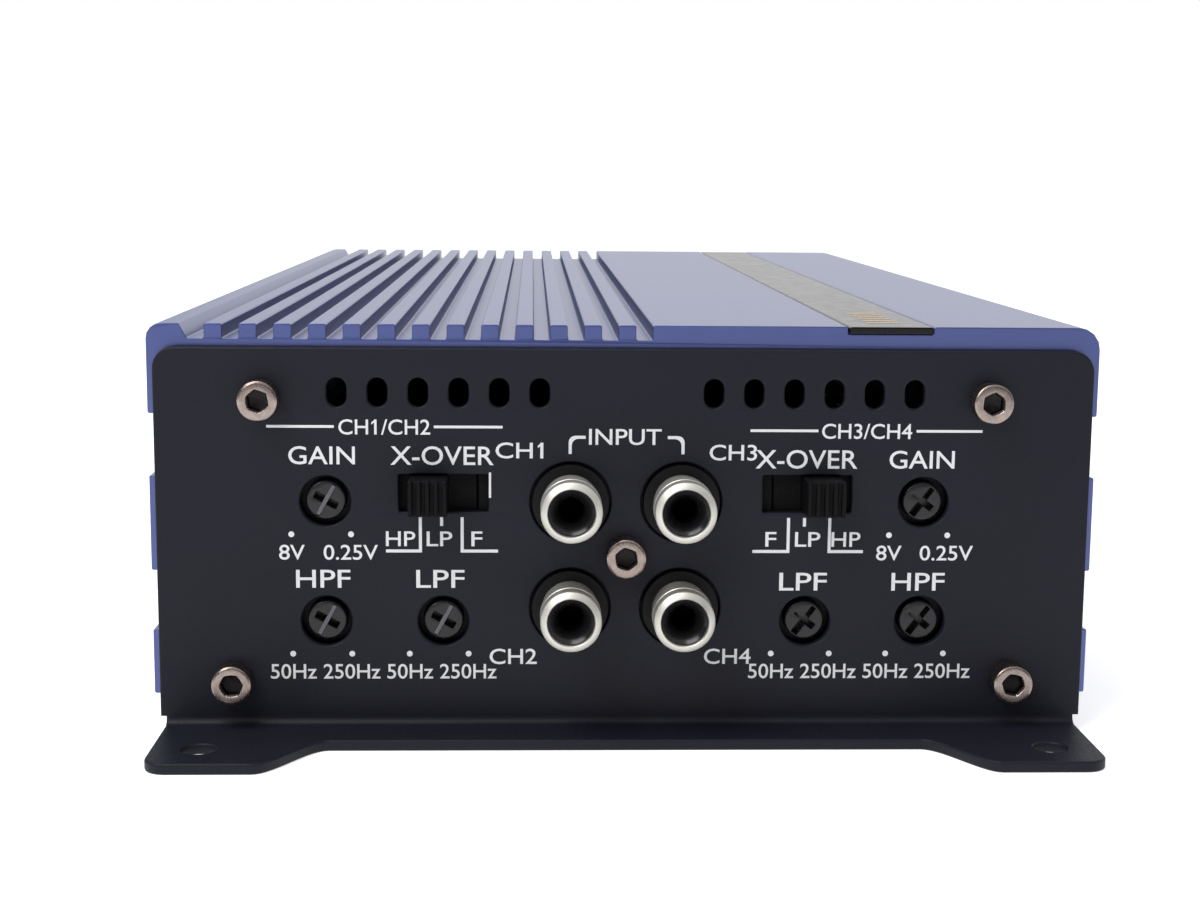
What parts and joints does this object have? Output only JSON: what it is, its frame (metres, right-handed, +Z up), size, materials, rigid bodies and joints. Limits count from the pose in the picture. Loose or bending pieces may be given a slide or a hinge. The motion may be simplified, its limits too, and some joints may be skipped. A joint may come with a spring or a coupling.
{
  "type": "car amplifier",
  "caption": "Compact car amplifier: finned blue extrusion between two black end plates with mounting feet, phono inputs, level and crossover trimmers, screw terminals and blade fuses.",
  "frame": {"origin": "on the mounting surface, under the middle of the amplifier", "axes": "+X to the right as the input panel is faced, +Y from the input end to the power end, +Z up from the mounting surface"},
  "size_m": [0.13, 0.269, 0.0568],
  "materials": {
    "blue_anodised": "satin anodised extrusion",
    "black_sheet": "satin black painted sheet",
    "black_powder_coat": "fine matt powder coat with white screen print",
    "gloss_strip": "gloss black strip with gold lines",
    "nickel_screw": "bright nickel plate",
    "black_moulding": "moulded, fine satin texture",
    "nickel_shell": "turned and nickel plated",
    "contact_brass": "plated brass",
    "circuit_board": "green solder mask",
    "grey_moulding": "moulded",
    "control_black": "moulded, satin",
    "blackened_steel": "blackened steel sheet",
    "laminate": "brown paper laminate",
    "insulation_paper": "fish paper",
    "ferrite": "ferrite",
    "copper_wire": "enamelled copper wire",
    "sleeved_can": "shrink sleeve over aluminium can",
    "device_black": "moulded epoxy on a tinned tab",
    "pad_grey": "silicone sheet",
    "clamp_bar": "mill finish",
    "terminal_screw": "nickel plated",
    "tinned_metal": "tinned",
    "fuse_amber": "tinted clear moulding",
    "lamp_blue": "diffused lens",
    "lamp_red": "diffused lens"
  },
  "bodies": {
    "root": {"heatsink": "blue_anodised", "bottom_cover": "black_sheet", "front_end_plate": "black_powder_coat", "rear_end_plate": "black_powder_coat", "trim_strip": "gloss_strip", "front_plate_screws": "nickel_screw", "rear_plate_screws": "nickel_screw", "jack_block_screw": "nickel_screw", "jack_block": "black_moulding", "jack_shells": "nickel_shell", "jack_insulators": "black_moulding", "jack_contacts": "contact_brass", "control_board": "circuit_board", "trimmer_housings": "grey_moulding", "switch_frames": "blackened_steel", "switch_bases": "laminate", "board_link": "black_moulding", "main_board": "circuit_board", "insulation_sheet": "insulation_paper", "transformer_core": "ferrite", "transformer_winding": "copper_wire", "filter_choke": "copper_wire", "filter_capacitors": "sleeved_can", "transistors": "device_black", "thermal_pads": "pad_grey", "transistor_clamps": "clamp_bar", "clamp_screws": "nickel_screw", "power_terminal_block": "black_moulding", "power_clamps": "contact_brass", "speaker_terminal_block": "black_moulding", "speaker_clamps": "contact_brass", "fuse_holder": "black_moulding", "fuse_terminals": "tinned_metal", "power_lamp": "lamp_blue", "protect_lamp": "lamp_red"},
    "gain_trimmer_ch12": {"gain_trimmer_ch12": "control_black"},
    "hpf_trimmer_ch12": {"hpf_trimmer_ch12": "control_black"},
    "lpf_trimmer_ch12": {"lpf_trimmer_ch12": "control_black"},
    "gain_trimmer_ch34": {"gain_trimmer_ch34": "control_black"},
    "hpf_trimmer_ch34": {"hpf_trimmer_ch34": "control_black"},
    "lpf_trimmer_ch34": {"lpf_trimmer_ch34": "control_black"},
    "crossover_knob_ch12": {"crossover_knob_ch12": "control_black"},
    "crossover_knob_ch34": {"crossover_knob_ch34": "control_black"},
    "fuse_1": {"fuse_1_body": "fuse_amber", "fuse_1_blades": "tinned_metal"},
    "fuse_2": {"fuse_2_body": "fuse_amber", "fuse_2_blades": "tinned_metal"},
    "power_screw_battery": {"power_screw_battery": "terminal_screw"},
    "power_screw_remote": {"power_screw_remote": "terminal_screw"},
    "power_screw_ground": {"power_screw_ground": "terminal_screw"},
    "speaker_screw_1": {"speaker_screw_1": "terminal_screw"},
    "speaker_screw_2": {"speaker_screw_2": "terminal_screw"},
    "speaker_screw_3": {"speaker_screw_3": "terminal_screw"},
    "speaker_screw_4": {"speaker_screw_4": "terminal_screw"},
    "speaker_screw_5": {"speaker_screw_5": "terminal_screw"},
    "speaker_screw_6": {"speaker_screw_6": "terminal_screw"},
    "speaker_screw_7": {"speaker_screw_7": "terminal_screw"},
    "speaker_screw_8": {"speaker_screw_8": "terminal_screw"}
  },
  "joints": [
    {"name": "gain_turn_ch12", "type": "hinge", "parent": "root", "child": "gain_trimmer_ch12", "pos_m": [-0.041, -0.11, 0.03275], "axis": [0, 1, 0], "range_deg": [-120, 160]},
    {"name": "hpf_turn_ch12", "type": "hinge", "parent": "root", "child": "hpf_trimmer_ch12", "pos_m": [-0.041, -0.11, 0.016], "axis": [0, 1, 0], "range_deg": [-120, 160]},
    {"name": "lpf_turn_ch12", "type": "hinge", "parent": "root", "child": "lpf_trimmer_ch12", "pos_m": [-0.025, -0.11, 0.016], "axis": [0, 1, 0], "range_deg": [-120, 160]},
    {"name": "gain_turn_ch34", "type": "hinge", "parent": "root", "child": "gain_trimmer_ch34", "pos_m": [0.041, -0.11, 0.03275], "axis": [0, 1, 0], "range_deg": [-130, 150]},
    {"name": "hpf_turn_ch34", "type": "hinge", "parent": "root", "child": "hpf_trimmer_ch34", "pos_m": [0.041, -0.11, 0.016], "axis": [0, 1, 0], "range_deg": [-130, 150]},
    {"name": "lpf_turn_ch34", "type": "hinge", "parent": "root", "child": "lpf_trimmer_ch34", "pos_m": [0.025, -0.11, 0.016], "axis": [0, 1, 0], "range_deg": [-130, 150]},
    {"name": "crossover_slide_ch12", "type": "slide", "parent": "root", "child": "crossover_knob_ch12", "axis": [1, 0, 0], "range_m": [0, 0.004]},
    {"name": "crossover_slide_ch34", "type": "slide", "parent": "root", "child": "crossover_knob_ch34", "axis": [1, 0, 0], "range_m": [-0.004, 0]},
    {"name": "fuse_1_pull", "type": "slide", "parent": "root", "child": "fuse_1", "axis": [0, 1, 0], "range_m": [0, 0.022]},
    {"name": "fuse_2_pull", "type": "slide", "parent": "root", "child": "fuse_2", "axis": [0, 1, 0], "range_m": [0, 0.022]},
    {"name": "power_screw_battery_turn", "type": "hinge", "parent": "root", "child": "power_screw_battery", "pos_m": [0.0182, 0.122, 0.024], "axis": [0, 0, 1], "range_deg": [0, 1080]},
    {"name": "power_screw_remote_turn", "type": "hinge", "parent": "root", "child": "power_screw_remote", "pos_m": [0.029, 0.122, 0.024], "axis": [0, 0, 1], "range_deg": [0, 1080]},
    {"name": "power_screw_ground_turn", "type": "hinge", "parent": "root", "child": "power_screw_ground", "pos_m": [0.0398, 0.122, 0.024], "axis": [0, 0, 1], "range_deg": [0, 1080]},
    {"name": "speaker_screw_1_turn", "type": "hinge", "parent": "root", "child": "speaker_screw_1", "pos_m": [-0.0464, 0.122, 0.022], "axis": [0, 0, 1], "range_deg": [0, 1080]},
    {"name": "speaker_screw_2_turn", "type": "hinge", "parent": "root", "child": "speaker_screw_2", "pos_m": [-0.04, 0.122, 0.022], "axis": [0, 0, 1], "range_deg": [0, 1080]},
    {"name": "speaker_screw_3_turn", "type": "hinge", "parent": "root", "child": "speaker_screw_3", "pos_m": [-0.0336, 0.122, 0.022], "axis": [0, 0, 1], "range_deg": [0, 1080]},
    {"name": "speaker_screw_4_turn", "type": "hinge", "parent": "root", "child": "speaker_screw_4", "pos_m": [-0.0272, 0.122, 0.022], "axis": [0, 0, 1], "range_deg": [0, 1080]},
    {"name": "speaker_screw_5_turn", "type": "hinge", "parent": "root", "child": "speaker_screw_5", "pos_m": [-0.0208, 0.122, 0.022], "axis": [0, 0, 1], "range_deg": [0, 1080]},
    {"name": "speaker_screw_6_turn", "type": "hinge", "parent": "root", "child": "speaker_screw_6", "pos_m": [-0.0144, 0.122, 0.022], "axis": [0, 0, 1], "range_deg": [0, 1080]},
    {"name": "speaker_screw_7_turn", "type": "hinge", "parent": "root", "child": "speaker_screw_7", "pos_m": [-0.008, 0.122, 0.022], "axis": [0, 0, 1], "range_deg": [0, 1080]},
    {"name": "speaker_screw_8_turn", "type": "hinge", "parent": "root", "child": "speaker_screw_8", "pos_m": [-0.0016, 0.122, 0.022], "axis": [0, 0, 1], "range_deg": [0, 1080]}
  ]
}
